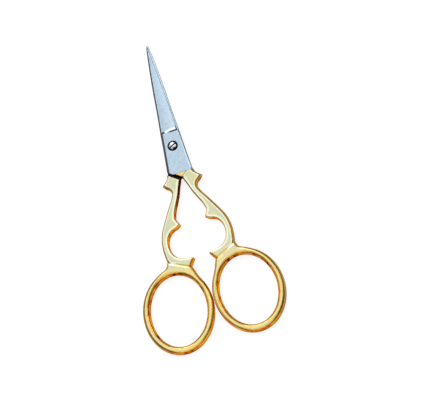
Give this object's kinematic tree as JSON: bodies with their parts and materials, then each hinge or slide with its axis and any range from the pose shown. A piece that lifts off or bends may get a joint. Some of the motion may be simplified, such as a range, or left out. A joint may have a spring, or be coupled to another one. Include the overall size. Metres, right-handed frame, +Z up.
{
  "type": "embroidery scissors",
  "caption": "Small pointed embroidery scissors with gold-plated scrolled handles, oval finger bows and a slotted pivot screw.",
  "frame": {"origin": "on the surface that the closed scissors lie on, under the middle of their bounding box", "axes": "+Y along the closed blades to the tips, +Z up out of the surface along the pivot screw's axis, head up, +X to the upper half's bow"},
  "size_m": [0.0402, 0.0892, 0.0029],
  "materials": {
    "blade_steel": "satin nickel-plated and ground steel",
    "gold_plating": "gold electroplating on forged steel: satin flats, polished rounded edges",
    "screw_steel": "polished steel"
  },
  "bodies": {
    "lower_half": {"lower_blade": "blade_steel", "lower_handle": "gold_plating", "pivot_screw": "screw_steel"},
    "upper_half": {"upper_blade": "blade_steel", "upper_handle": "gold_plating"}
  },
  "joints": [
    {"name": "pivot", "type": "hinge", "parent": "lower_half", "child": "upper_half", "pos_m": [0, 0.01359, 0.00135], "axis": [0, 0, 1], "range_deg": [0, 130]}
  ]
}
